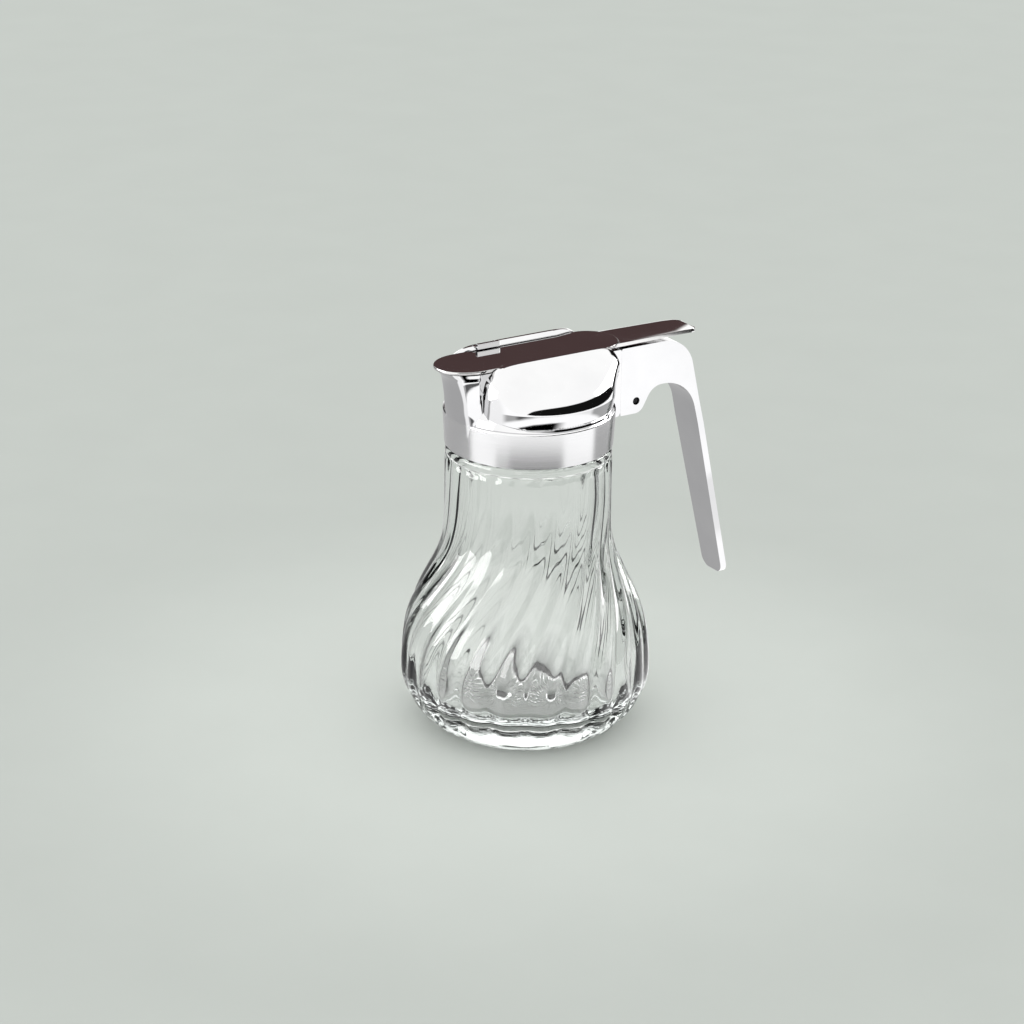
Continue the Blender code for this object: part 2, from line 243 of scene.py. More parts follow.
def makeChrome():
    look = {"bright": (0.66, 0.66, 0.665), "worn": (0.60, 0.60, 0.61), "smudge": 45.0, "ripple": 160.0}
    material, tree, shader = newMaterial("polishedChrome", look["bright"], 0.04, 1.0)
    smudges = noiseAt(tree, look["smudge"], 4.0)
    colour = tint(tree, smudges, look["worn"], look["bright"])
    tree.links.new(colour, shader.inputs["Base Color"])
    tree.links.new(remap(tree, smudges, 0.025, 0.06), shader.inputs["Roughness"])
    ripple = noiseAt(tree, look["ripple"], 2.0)  # faint orange peel of plated die-cast metal
    tree.links.new(bumpFrom(tree, ripple, 0.05, 0.3), shader.inputs["Normal"])
    return material


def makeMirrorSteel():
    look = {
        "bright": (0.66, 0.655, 0.65), "worn": (0.61, 0.60, 0.60), "cloud": 60.0, "brush": (8.0, 900.0, 60.0),
    }
    material, tree, shader = newMaterial("mirrorSteel", look["bright"], 0.05, 1.0)
    clouds = noiseAt(tree, look["cloud"], 3.0)
    tree.links.new(tint(tree, clouds, look["worn"], look["bright"]), shader.inputs["Base Color"])
    tree.links.new(remap(tree, clouds, 0.03, 0.07), shader.inputs["Roughness"])
    brushed = noiseAt(tree, 1.0, 2.0, look["brush"])  # faint rolling marks along the lid
    tree.links.new(bumpFrom(tree, brushed, 0.03, 0.05), shader.inputs["Normal"])
    return material


def makeSatin():
    look = {"bright": (0.66, 0.66, 0.665), "worn": (0.635, 0.635, 0.64), "turned": (20.0, 20.0, 2500.0)}
    material, tree, shader = newMaterial("satinChrome", look["bright"], 0.22, 1.0)
    marks = noiseAt(tree, 1.0, 2.0, look["turned"])  # fine marks of the lathe round the collar
    tree.links.new(tint(tree, marks, look["worn"], look["bright"]), shader.inputs["Base Color"])
    tree.links.new(remap(tree, marks, 0.15, 0.18), shader.inputs["Roughness"])
    return material


def makeGlass():
    look = {"waves": 40.0, "stretch": (1.0, 1.0, 0.5), "body": (0.85, 0.96, 0.92, 1.0), "density": 5.0}
    material, tree, shader = newMaterial("pressedGlass", (1.0, 1.0, 1.0), 0.0)
    shader.inputs["Transmission Weight"].default_value = 1.0
    shader.inputs["IOR"].default_value = 1.5
    waves = noiseAt(tree, look["waves"], 1.0, look["stretch"])
    tree.links.new(bumpFrom(tree, waves, 0.05, 0.4), shader.inputs["Normal"])
    absorb = addNode(tree, "ShaderNodeVolumeAbsorption", {"Color": look["body"], "Density": look["density"]})
    tree.links.new(absorb.outputs[0], tree.nodes["Material Output"].inputs["Volume"])
    return material


def makePinFinish():
    look = {"dark": (0.010, 0.010, 0.011), "light": (0.030, 0.030, 0.032), "grain": 900.0}
    material, tree, shader = newMaterial("darkPin", look["dark"], 0.5, 0.6)
    grain = noiseAt(tree, look["grain"], 3.0)
    tree.links.new(tint(tree, grain, look["dark"], look["light"]), shader.inputs["Base Color"])
    tree.links.new(remap(tree, grain, 0.35, 0.6), shader.inputs["Roughness"])
    return material


chrome = makeChrome()
mirrorSteel = makeMirrorSteel()
satinChrome = makeSatin()
glass = makeGlass()
pinFinish = makePinFinish()
print("finishes made")


def place(thing, material, body, node):
    thing.data.materials.clear()
    thing.data.materials.append(material)
    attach(thing, body)
    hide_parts(node)
    print(thing.name, "has", len(thing.data.polygons), "faces")


# Glass jar: an outline of radius and height, turned round the axis and fluted by geometry nodes

jar = {
    "flutes": 24,
    "around": 360,  # points round the jar, 15 to a flute
    "twist": 36.0,  # degrees that a flute turns between neck and foot
    "twistTop": 95.0,
    "twistBottom": 20.0,
    "ribPower": 1.5,  # higher makes flatter ribs with narrower grooves
    "wave": 0.05,  # unevenness of the walls
    "waveScale": 45.0,
    "waveShare": (0.25, 1.0),  # how much of it the outside and the inside have
    "weld": 0.005,  # closes the seam and the poles
    # radius and height, from the middle of the base outwards
    "base": [(0.0, 0.0), (2.0, 0.0), (4.2, 0.0), (4.9, 0.25), (5.5, 1.35), (6.2, 1.6)],
    "rosette": (26.6, 30, 0.22),  # under the base: outer radius, rows of points and depth of its grooves
    "foot": [(27.3, 1.45), (28.6, 0.45), (29.3, 0.05), (30.0, 0.0), (30.8, 0.0)],
    "footEdge": (31.7, 0.35, 0.05),  # radius, height and groove depth where the fluted outside starts
    # height, crest radius and groove depth of the fluted outside
    "outside": [
        (1.0, 32.6, 0.05), (3.0, 35.4, 0.15), (6.0, 38.2, 0.3), (11.0, 41.5, 0.55), (17.0, 43.6, 0.8),
        (24.0, 44.0, 1.2), (32.0, 43.3, 1.35), (38.0, 42.2, 1.35), (44.0, 40.3, 1.25), (50.0, 37.6, 1.1),
        (56.0, 34.7, 0.85), (62.0, 32.0, 0.6), (68.0, 30.1, 0.42), (74.0, 29.3, 0.36), (82.0, 29.1, 0.36),
        (91.0, 29.0, 0.4), (96.5, 29.0, 0.55), (98.6, 28.8, 0.6), (99.5, 28.4, 0.2),
    ],
    "fluteEnd": (28.45, 99.8, 0.15),  # the same where it ends, under the collar
    # radius and height of the plain neck and mouth
    "mouth": [
        (28.7, 100.1), (28.9, 100.5), (28.9, 102.5), (28.7, 103.0), (28.2, 103.2),
        (26.8, 103.2), (26.6, 103.5), (26.6, 108.5), (26.6, 114.0), (26.35, 114.7),
        (25.7, 115.0), (24.7, 115.0), (23.9, 114.6), (23.55, 113.6),
    ],
    # height and radius of the smooth inside, mouth first
    "inside": [
        (112.0, 23.4), (101.0, 23.8), (88.0, 24.4), (74.0, 24.6), (64.0, 26.2), (54.0, 30.6),
        (44.0, 35.6), (34.0, 38.6), (25.0, 39.6), (17.0, 38.2), (12.0, 33.5), (9.0, 26.0), (8.0, 16.0),
        (8.0, 5.8),
    ],
    # radius and height of the round button in the middle of the floor
    "button": [(5.0, 8.1), (4.3, 8.5), (3.5, 9.05), (2.4, 9.4), (1.2, 9.5), (0.0, 9.5)],
}


def jarOutline():
    # rows of radius, height, groove depth and waviness, from under the foot to the floor inside
    outside, inside = jar["waveShare"]
    rows = [(radius, z, 0, 0) for radius, z in jar["base"]]
    inner, level = jar["base"][-1]
    outer, count, rosetteDepth = jar["rosette"]
    for k in range(1, count + 1):
        share = k / (count + 1)
        rows.append((inner + (outer - inner) * share, level, rosetteDepth * math.sin(math.pi * share), 0))
    rows += [(radius, z, 0, 0) for radius, z in jar["foot"]]
    rows.append((*jar["footEdge"], 0))
    rows += [(radius, z, depth, outside) for z, radius, depth in smoothRows(jar["outside"], 6)]
    rows.append((*jar["fluteEnd"], 0))
    rows += [(radius, z, 0, 0) for radius, z in jar["mouth"]]
    rows += [(radius, z, 0, inside) for z, radius in smoothRows(jar["inside"], 6)]
    rows += [(radius, z, 0, 0) for radius, z in jar["button"]]
    return rows


def outlineObject(rows):
    # the outline as a chain of points that carry the outward direction, the groove depth and the waviness
    mesh = bpy.data.meshes.new("jarOutline")
    points = [(row[0] * mm, 0.0, row[1] * mm) for row in rows]
    mesh.from_pydata(points, [(i, i + 1) for i in range(len(points) - 1)], [])
    mesh.attributes.new("outward", "FLOAT_VECTOR", "POINT")
    mesh.attributes.new("depth", "FLOAT", "POINT")
    mesh.attributes.new("wave", "FLOAT", "POINT")
    data = mesh.attributes
    for i, row in enumerate(rows):
        along = Vector(points[min(i + 1, len(points) - 1)]) - Vector(points[max(i - 1, 0)])
        data["outward"].data[i].vector = Vector((along.z, 0.0, -along.x)).normalized()
        data["depth"].data[i].value = row[2] * mm
        data["wave"].data[i].value = row[3]
    thing = bpy.data.objects.new("glassJar", mesh)
    bpy.context.scene.collection.objects.link(thing)
    return thing


def fluteTree():
    tree = bpy.data.node_groups.new("flutedJar", "GeometryNodeTree")
    face = tree.interface
    face.new_socket("Geometry", in_out="INPUT", socket_type="NodeSocketGeometry")
    for name, kind in (("Flutes", "Int"), ("Around", "Int"), ("Twist", "Float"), ("Twist Top", "Float"),
                       ("Twist Bottom", "Float"), ("Rib Power", "Float"), ("Wave", "Float"),
                       ("Wave Scale", "Float"), ("Material", "Material")):
        face.new_socket(name, in_out="INPUT", socket_type="NodeSocket" + kind)
    face.new_socket("Geometry", in_out="OUTPUT", socket_type="NodeSocketGeometry")
    start = tree.nodes.new("NodeGroupInput").outputs
    size = addNode(tree, "GeometryNodeAttributeDomainSize", {0: start["Geometry"]}, component="MESH")
    length = size.outputs["Point Count"]
    columns = calc(tree, "ADD", start["Around"], 1.0)
    grid = addNode(tree, "GeometryNodeMeshGrid", {"Vertices X": columns, "Vertices Y": length})
    index = tree.nodes.new("GeometryNodeInputIndex").outputs[0]
    step = calc(tree, "FLOORED_MODULO", index, length)  # place along the outline
    column = calc(tree, "FLOOR", calc(tree, "DIVIDE", calc(tree, "ADD", index, 0.5), length))
    turn = calc(tree, "DIVIDE", column, start["Around"])  # 0 to 1 round the jar

    def outlineValue(name, kind):
        if name == "position":
            source = tree.nodes.new("GeometryNodeInputPosition").outputs[0]
        else:
            named = addNode(tree, "GeometryNodeInputNamedAttribute", {"Name": name}, data_type=kind)
            source = named.outputs[0]
        sample = addNode(tree, "GeometryNodeSampleIndex", {"Geometry": start["Geometry"]}, data_type=kind)
        tree.links.new(source, sample.inputs["Value"])
        tree.links.new(step, sample.inputs["Index"])
        return sample.outputs[0]

    point = addNode(tree, "ShaderNodeSeparateXYZ", {0: outlineValue("position", "FLOAT_VECTOR")}).outputs
    outward = addNode(tree, "ShaderNodeSeparateXYZ", {0: outlineValue("outward", "FLOAT_VECTOR")}).outputs
    depth = outlineValue("depth", "FLOAT")
    wave = outlineValue("wave", "FLOAT")
    twist = addNode(tree, "ShaderNodeMapRange", {
        0: point["Z"], 1: start["Twist Top"], 2: start["Twist Bottom"], 3: 0.0, 4: start["Twist"],
    }, interpolation_type="SMOOTHERSTEP")
    angle = calc(tree, "SUBTRACT", calc(tree, "MULTIPLY", turn, 2 * math.pi), twist.outputs[0])
    # a rounded rib and a rounded groove: one sine wave to a flute, from 0 to 1, raised to the rib power
    across = calc(tree, "MULTIPLY", calc(tree, "MULTIPLY", turn, start["Flutes"]), 2 * math.pi)
    softened = calc(tree, "MULTIPLY_ADD", calc(tree, "SINE", across), 0.5, 0.5)
    groove = calc(tree, "MULTIPLY", depth, calc(tree, "POWER", softened, start["Rib Power"]))

    def turned(radius, height):
        x = calc(tree, "MULTIPLY", radius, calc(tree, "COSINE", angle))
        y = calc(tree, "MULTIPLY", radius, calc(tree, "SINE", angle))
        return addNode(tree, "ShaderNodeCombineXYZ", {"X": x, "Y": y, "Z": height}).outputs[0]

    plain = turned(point["X"], point["Z"])
    inputs = {"Vector": plain, "Scale": start["Wave Scale"], "Detail": 1.0}
    noise = addNode(tree, "ShaderNodeTexNoise", inputs).outputs[0]
    rise = calc(tree, "SUBTRACT", noise, 0.5)
    bulge = calc(tree, "MULTIPLY", calc(tree, "MULTIPLY", rise, start["Wave"]), wave)
    offset = calc(tree, "SUBTRACT", bulge, groove)
    radius = calc(tree, "ADD", point["X"], calc(tree, "MULTIPLY", outward["X"], offset))
    height = calc(tree, "ADD", point["Z"], calc(tree, "MULTIPLY", outward["Z"], offset))
    made = grid.outputs[0]
    for kind, inputs in (
        ("SetPosition", {"Position": turned(radius, height)}),
        ("MergeByDistance", {"Distance": jar["weld"] * mm}),
        ("SetShadeSmooth", {}),
        ("RealizeInstances", {}),
        ("SetMaterial", {"Material": start["Material"]}),
    ):
        made = addNode(tree, "GeometryNode" + kind, {"Geometry": made, **inputs}).outputs[0]
    addNode(tree, "NodeGroupOutput", {0: made})
    return tree


def setInputs(modifier, values):
    # inputs are set by the sockets' identifiers
    for item in modifier.node_group.interface.items_tree:
        if item.in_out == "INPUT" and item.name in values:
            modifier[item.identifier] = values[item.name]


def makeJar():
    thing = outlineObject(jarOutline())
    flutes = thing.modifiers.new("flutes", "NODES")
    flutes.node_group = fluteTree()
    setInputs(flutes, {
        "Flutes": jar["flutes"], "Around": jar["around"], "Twist": math.radians(jar["twist"]),
        "Twist Top": jar["twistTop"] * mm, "Twist Bottom": jar["twistBottom"] * mm,
        "Rib Power": jar["ribPower"], "Wave": jar["wave"] * mm, "Wave Scale": jar["waveScale"],
        "Material": glass,
    })
    bakeModifiers(thing, None)
    shape = bmesh.new()
    shape.from_mesh(thing.data)
    if shape.calc_volume(signed=True) < 0:
        bmesh.ops.reverse_faces(shape, faces=shape.faces)
    shape.to_mesh(thing.data)
    shape.free()
    place(thing, glass, "dispenser", "glass_jar")


# Pouring head: collar and shoulder, spout, two cheeks and the pad for the handle in one casting

head = {
    "collarZ": (103.5, 116.3),
    "collarR": (29.2, 29.8),
    "domeR": (28.5, 16.0),  # at its foot and where it becomes flat
    "domeTop": 125.5,
    "deckZ": 134.7,
    "cheekX": (-24.9, 27.6),
    "cheekCrest": (13.0, 137.2),
    "cheekBelt": (29.9, 122.6),
    "cheekBottom": 113.0,
    "cheekTuck": (1.8, 1.4),  # how far the cheek draws in below its belt, straight and bent
    "cheekCore": (12.0, 123.0),
    "crestLine": [(5.0, 1.4), (9.0, 0.5), (11.0, 0.12)],  # y and how far below the crest
    "crestFall": 27.0,  # how steeply the cheek falls from its crest, in degrees
    "crestPull": 8.4,
    "beltPull": 7.4,
    "cheekEnds": ((-1, 7.0, 3.2), (1, 11.0, 4.0)),  # direction, flatness and roundness of its two ends
    "lipY": 9.4,
    "lipSpread": (3.6, 3.3),  # how far the far and the near lip lean back
    "slotY": 10.6,
    "slotTop": 136.3,
    "windowFoot": (0.15, 0.04, 0.1),  # how far above the slot it spreads, in what height and how far at once
    "windowX": (-40.0, -24.5, -19.0, 17.0, 24.0, 45.0),
    "padX": 33.1,
    "padY": 7.2,
    "padZ": (108.6, 133.0),
    "bore": (27.0, 115.4),
    "tabRoom": (2.0, 0.6, 133.6),  # before and beside the tab, and the floor of its channel
    "satinEnd": 28.0,  # the satin collar stops at the pad
    # height, radius of the bowed front, half width and how far it has become a leaf
    "spout": [
        (110.0, 29.5, 9.8, 0.0), (113.0, 29.8, 10.0, 0.0), (115.5, 30.1, 10.0, 0.0),
        (117.5, 30.4, 9.9, 0.0), (120.0, 30.8, 9.8, 0.0), (123.5, 31.1, 9.6, 0.0),
        (127.0, 31.5, 9.4, 0.06), (130.0, 31.7, 9.5, 0.22), (132.0, 31.8, 9.7, 0.45),
        (133.4, 32.0, 10.1, 0.72), (134.7, 32.0, 10.4, 1.0),
    ],
    "spoutCorner": (4.0, 10),  # how far and how late the front bends back at its sides
    "leafX": (-36.4, -25.0),
    "spoutWall": 2.2,
    "passageBack": (14.0, -8.0),  # x of its back wall, at its foot and at its top
    "beyond": 50.0,  # cuts reach past the casting
}


def collarShape():
    low, high = head["collarZ"]
    lowR, highR = head["collarR"]
    profile = [(lowR - 0.35, low), (lowR - 0.1, low + 0.1), (lowR, low + 0.35), (highR, high - 0.7)]
    profile += [(highR - 0.06, high - 0.35), (highR - 0.22, high - 0.12), (highR - 0.5, high)]
    profile.append((head["domeR"][0] + 0.12, high + 0.02))
    steps = 36
    for k in range(1, steps + 1):
        angle = math.radians(90) * k / steps
        radius = head["domeR"][1] + (head["domeR"][0] - head["domeR"][1]) * math.cos(angle)
        profile.append((radius, high + (head["domeTop"] - high) * math.sin(angle)))
    return skin([ringAt(radius, z, 360) for radius, z in profile])


def spoutSection(z, radius, halfWidth, leaf, back, inset=0.0, steps=40):
    tip, nose = head["leafX"]
    pull, power = head["spoutCorner"]
    section = []
    for i in range(2 * steps + 1):
        across = math.sin(math.radians(90) * (i - steps) / steps)
        y = halfWidth * across
        bow = -math.sqrt(radius ** 2 - y ** 2) + pull * abs(across) ** power
        point = nose - (nose - tip) * math.sqrt(max(1 - across ** 2, 0.0))
        section.append((bow + (point - bow) * leaf + inset, y * (1 - inset / halfWidth), z))
    width = halfWidth - inset
    section += [(back, width, z), (back, -width, z)]
    return section


def spoutShape():
    rings = []
    for z, radius, halfWidth, leaf in smoothRows(head["spout"], 8):
        back = math.sqrt(head["domeR"][0] ** 2 - halfWidth ** 2)
        rings.append(spoutSection(z, radius, halfWidth, leaf, back))
    return skin(rings)


def passageShape():
    # room inside the spout, from the mouth of the jar up to the pouring hole
    rows = smoothRows(head["spout"][1:], 5)
    low, high = rows[0][0], rows[-1][0]
    front, rear = head["passageBack"]
    rings = []
    for z, radius, halfWidth, leaf in rows:
        back = front + (rear - front) * (z - low) / (high - low)
        rings.append(spoutSection(z, radius, halfWidth, leaf, back, head["spoutWall"]))
    rings.append([(x, y, high + 1.0) for x, y, z in rings[-1]])
    return skin(rings)


def cheekSection(x, scale, side):
    crestY, crestZ = head["cheekCrest"]
    belt, beltZ = head["cheekBelt"]
    bottom = head["cheekBottom"]
    reach = math.sqrt(belt ** 2 - x ** 2)
    points = [(head["crestLine"][0][0], bottom)] + [(y, crestZ - drop) for y, drop in head["crestLine"]]
    # a cubic curve from the crest, falling at once, to the upright belt
    fall = math.radians(head["crestFall"])
    first = (crestY + head["crestPull"] * math.cos(fall), crestZ - head["crestPull"] * math.sin(fall))
    second = (reach, beltZ + head["beltPull"])
    for k in range(49):
        t = k / 48
        weights = ((1 - t) ** 3, 3 * t * (1 - t) ** 2, 3 * t * t * (1 - t), t ** 3)
        ends = ((crestY, crestZ), first, second, (reach, beltZ))
        points.append(tuple(sum(w * end[i] for w, end in zip(weights, ends)) for i in (0, 1)))
    straight, bent = head["cheekTuck"]
    for part in [0.01] + [k / 12 for k in range(1, 13)]:
        points.append((reach - straight * part - bent * part * part, beltZ + (bottom - beltZ) * part))
    coreY, coreZ = head["cheekCore"]
    return [(x, side * (coreY + (y - coreY) * scale), coreZ + (z - coreZ) * scale) for y, z in points]


def cheekShape(side):
    # sections along x that shrink towards both ends: x grows as the sine, the size falls as the cosine
    middle = sum(head["cheekX"]) / 2
    half = (head["cheekX"][1] - head["cheekX"][0]) / 2
    plain = 0.6  # up to here the stations are evenly spaced
    rings = []
    for direction, flatness, roundness in head["cheekEnds"]:
        first = math.asin(plain ** (flatness / 2))
        stations = []
        for k in range(45):
            angle = first + (math.radians(90) - first) * k / 44
            along = math.sin(angle) ** (2 / flatness)
            stations.append((direction * along, max(math.cos(angle), 0.0) ** (2 / roundness)))
        for k in range(1, 16):
            along = plain * (1 - k / 15)
            stations.insert(0, (direction * along, (1 - along ** flatness) ** (1 / roundness)))
        if direction < 0:
            stations.reverse()
        else:
            stations = stations[1:]
        for along, scale in stations:
            x = middle + half * along
            if scale < 0.001:
                rings.append([(x, side * head["cheekCore"][0], head["cheekCore"][1])])
            else:
                rings.append(cheekSection(x, scale, side))
    return skin(rings)


def lipWindowShape():
    # the opening over the lid: upright below, then spreading outwards up to the crests
    rise, step, farStep = head["windowFoot"]
    foot = head["slotTop"] + rise
    far, near = head["lipSpread"]
    lipY, slotY = head["lipY"], head["slotY"]
    half = list(zip(head["windowX"], (slotY, slotY, lipY, lipY, slotY, slotY)))
    levels = [(head["slotTop"] - 1.0, 0.0, 0.0), (foot, 0.0, 0.0), (foot + step, farStep, near - 0.3)]
    levels.append((head["cheekCrest"][1] + 0.4, far, near))
    rings = []
    for level, farSpread, nearSpread in levels:
        ring = [(x, y + farSpread, level) for x, y in half]
        nearHalf = [(x, lipY + nearSpread if nearSpread else y) for x, y in half]
        rings.append(ring + [(x, -y, level) for x, y in reversed(nearHalf)])
    rings.append([(x, y, z + 5.0) for x, y, z in rings[-1]])
    return skin(rings)


def makeHead():
    casting = finishMesh("pouringHead", collarShape())
    low, high = head["padZ"]
    padX = head["padX"]
    pad = roundedOutline([(20.0, low, 0), (padX, low, 1.5), (padX, high, 0.8), (20.0, high, 0)], 8)
    combine(casting, [
        ("spoutForm", spoutShape()),
        ("padForm", prism(pad, -head["padY"], head["padY"], "y")),
        ("nearCheek", cheekShape(-1)),
        ("farCheek", cheekShape(1)),
    ], "UNION")
    boreR, boreTop = head["bore"]
    slotY, slotTop, beyond = head["slotY"], head["slotTop"], head["beyond"]
    before, beside, channelFloor = head["tabRoom"]
    channelX = slide["tabX"][0] - before
    channelY = slide["tabY"][0] + beside
    notchY = (head["lipY"] - 1.2, keeper["y"][1] + clearance)
    notchX = (keeper["x"][0] - clearance, keeper["x"][1] + clearance)
    combine(casting, [
        ("bore", skin([ringAt(boreR, head["collarZ"][0] - 2.0, 180), ringAt(boreR, boreTop, 180)])),
        ("passage", passageShape()),
        ("lidSlot", block((-beyond, beyond), (-slotY, slotY), (head["deckZ"], slotTop))),
        ("lipWindow", lipWindowShape()),
        ("tabChannel", block((channelX, beyond), (-channelY, channelY), (channelFloor, slotTop))),
        ("keeperNotch", block(notchX, notchY, (slotTop - 0.2, slotTop + beyond))),
    ], "DIFFERENCE")
    weightNormals(casting)
    place(casting, chrome, "dispenser", "pouring_head")
    casting.data.materials.append(satinChrome)
    top, reach = head["collarZ"][1] * mm, (head["collarR"][0] - 0.3) * mm
    for face in casting.data.polygons:
        x, y, z = face.center
        if z < top and math.hypot(x, y) > reach and x < head["satinEnd"] * mm:
            face.material_index = 1


# Handle: a flat lug against the head and a long leg, bent over a round shoulder

handle = {
    "x": 33.4,
    "halfWidth": 6.8,
    "top": 133.0,
    "lugBottom": 108.4,
    "legSlope": 0.2335,  # outward lean per unit of height
    "legOuterX": 61.5,
    "legThickness": 2.4,
    "legBottom": 38.6,
    "archTop": 117.4,
    "legWide": (7.1, 100.0),
    "legEnd": (5.8, 4.2),  # half width at the end and its corner radius
    "lugRear": (41.9, 4.0),  # x and corner radius
    "archStart": (46.9, 6.5),
    "archEndR": 14.0,
    "shoulderR": 13.0,
    "pin": (40.0, 112.9),
    "holeR": 1.4,
    "edge": 0.8,
}


def legLine(z, inset=0.0):
    slope = handle["legSlope"]
    return handle["legOuterX"] + slope * (handle["top"] - z) - inset * math.sqrt(1 + slope ** 2)


def makeHandle():
    wide, wideZ = handle["legWide"]
    endY, endR = handle["legEnd"]
    top, bottom, thick = handle["top"], handle["legBottom"], handle["legThickness"]
    lugBottom, archTop = handle["lugBottom"], handle["archTop"]
    lugX, lugR = handle["lugRear"]
    archX, archR = handle["archStart"]
    side = roundedOutline([
        (handle["x"], top, 0.6), (handle["x"], lugBottom, 0.6), (lugX, lugBottom, lugR),
        (archX, archTop, archR), (legLine(archTop, thick), archTop, handle["archEndR"]),
        (legLine(bottom, thick), bottom, 0.5), (legLine(bottom), bottom, 0.5),
        (legLine(top), top, handle["shoulderR"]),
    ], 20)
    width = handle["halfWidth"]
    thing = finishMesh("handleLever", prism(side, -width - 2.0, width + 2.0, "y"))
    face = roundedOutline([
        (-width, top + 5.0, 0), (-width, lugBottom, 0), (-wide, wideZ, 0), (-endY, bottom, endR),
        (endY, bottom, endR), (wide, wideZ, 0), (width, lugBottom, 0), (width, top + 5.0, 0),
    ], 16)
    combine(thing, [("handleWidth", prism(face, handle["x"] - 5.0, 95.0, "x"))], "INTERSECT")
    pinX, pinZ = handle["pin"]
    hole = [(pinX + x, pinZ + y) for x, y, z in ringAt(handle["holeR"], 0, 48)]
    combine(thing, [("pinHole", prism(hole, -12.0, 12.0, "y"))], "DIFFERENCE")
    softenEdges(thing, handle["edge"], 4)
    place(thing, chrome, "dispenser", "handle")


# Slide: lid leaf and thumb tab

slide = {
    "leafZ": (135.0, 136.0),
    "tipX": -37.2,
    "noseX": -25.0,
    "leafY": 10.2,
    "rearX": 24.0,
    "tabX": (18.0, 66.0),
    "tabY": (7.5, 6.2),  # half widths at its root and its end
    "tabTop": 135.5,
    "tabThickness": 1.2,
    "taperX": 34.0,
    "tabCorner": 3.0,
    "fineX": 31.0,  # from here on the tab has closer sections
    "dish": 0.25,
    "dishX": (33.0, 6.0),  # where the dish starts and how soon it is at full depth
    "droop": 0.35,
    "droopX": 57.0,
    "edge": 0.12,
}


def leafOutline():
    steps = 40
    outline = []
    for i in range(2 * steps + 1):
        angle = math.radians(90) * (i - steps) / steps
        x = slide["noseX"] - (slide["noseX"] - slide["tipX"]) * math.cos(angle)
        outline.append((x, slide["leafY"] * math.sin(angle)))
    for i in range(2 * steps + 1):
        angle = math.radians(90) * (steps - i) / steps
        x = slide["rearX"] + slide["leafY"] * math.cos(angle)
        outline.append((x, slide["leafY"] * math.sin(angle)))
    return outline


def tabHalfWidth(x):
    root, end = slide["tabY"]
    tip = slide["tabX"][1]
    taper = min(max((x - slide["taperX"]) / (tip - slide["taperX"]), 0.0), 1.0)
    width = root + (end - root) * taper
    corner = slide["tabCorner"]
    over = x - (tip - corner)
    if over > 0:
        width -= corner - math.sqrt(max(corner ** 2 - over ** 2, 0.0))
    return width


def tabShape():
    # dished along its middle, drooping at its end
    start, tip = slide["tabX"]
    fine, corner = slide["fineX"], slide["tabCorner"]
    stations = [start + (fine - start) * k / 4 for k in range(4)]
    stations += [fine + (tip - corner - fine) * k / 40 for k in range(40)]
    stations += [tip - corner + corner * math.sin(math.radians(90) * k / 14) for k in range(15)]
    rings = []
    for x in stations:
        width = tabHalfWidth(x)
        reach = min(max((x - slide["dishX"][0]) / slide["dishX"][1], 0.0), 1.0)
        dish = slide["dish"] * reach * reach * (3 - 2 * reach)
        droop = slide["droop"] * max((x - slide["droopX"]) / (tip - slide["droopX"]), 0.0) ** 2
        top = []
        for k in range(33):
            across = -1 + k / 16
            top.append((x, width * across, slide["tabTop"] - droop - dish * (1 - across ** 2)))
        rings.append(top + [(x, y, z - slide["tabThickness"]) for x, y, z in reversed(top)])
    return skin(rings)


def makeSlide():
    thing = finishMesh("slideLid", prism(leafOutline(), *slide["leafZ"]))
    softenEdges(thing, slide["edge"], 3)
    tab = finishMesh("tabForm", tabShape())
    softenEdges(tab, slide["edge"], 3, 50)
    change = thing.modifiers.new("tab", "BOOLEAN")
    change.solver = "MANIFOLD"
    change.operation = "UNION"
    change.object = tab
    bakeModifiers(thing)
    weightNormals(thing)
    bpy.data.objects.remove(tab, do_unlink=True)
    place(thing, mirrorSteel, "slide", "slide_plate")


# Keeper in a notch of the far lip: an upright face over the lid and a foot behind it

keeper = {
    "x": (-15.6, -6.6),
    "y": (8.8, 13.0),
    "z": (136.35, 138.2),
    "upright": 1.5,  # thickness of the upright
    "foot": 0.5,  # height of the foot
    "edge": 0.15,
}


def makeKeeper():
    low, high = keeper["z"]
    front, back = keeper["y"]
    bend, step = front + keeper["upright"], low + keeper["foot"]
    side = [(front, low), (back, low), (back, step), (bend, step), (bend, high), (front, high)]
    thing = finishMesh("keeperBlock", prism(side, *keeper["x"], "x"))
    softenEdges(thing, keeper["edge"], 3)
    place(thing, chrome, "dispenser", "keeper_block")


makeJar()
makeHead()
makeHandle()
makeSlide()
makeKeeper()
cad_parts["handle_pin"].data.materials.clear()
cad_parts["handle_pin"].data.materials.append(pinFinish)
print("pieces made")


# Floor, light and camera

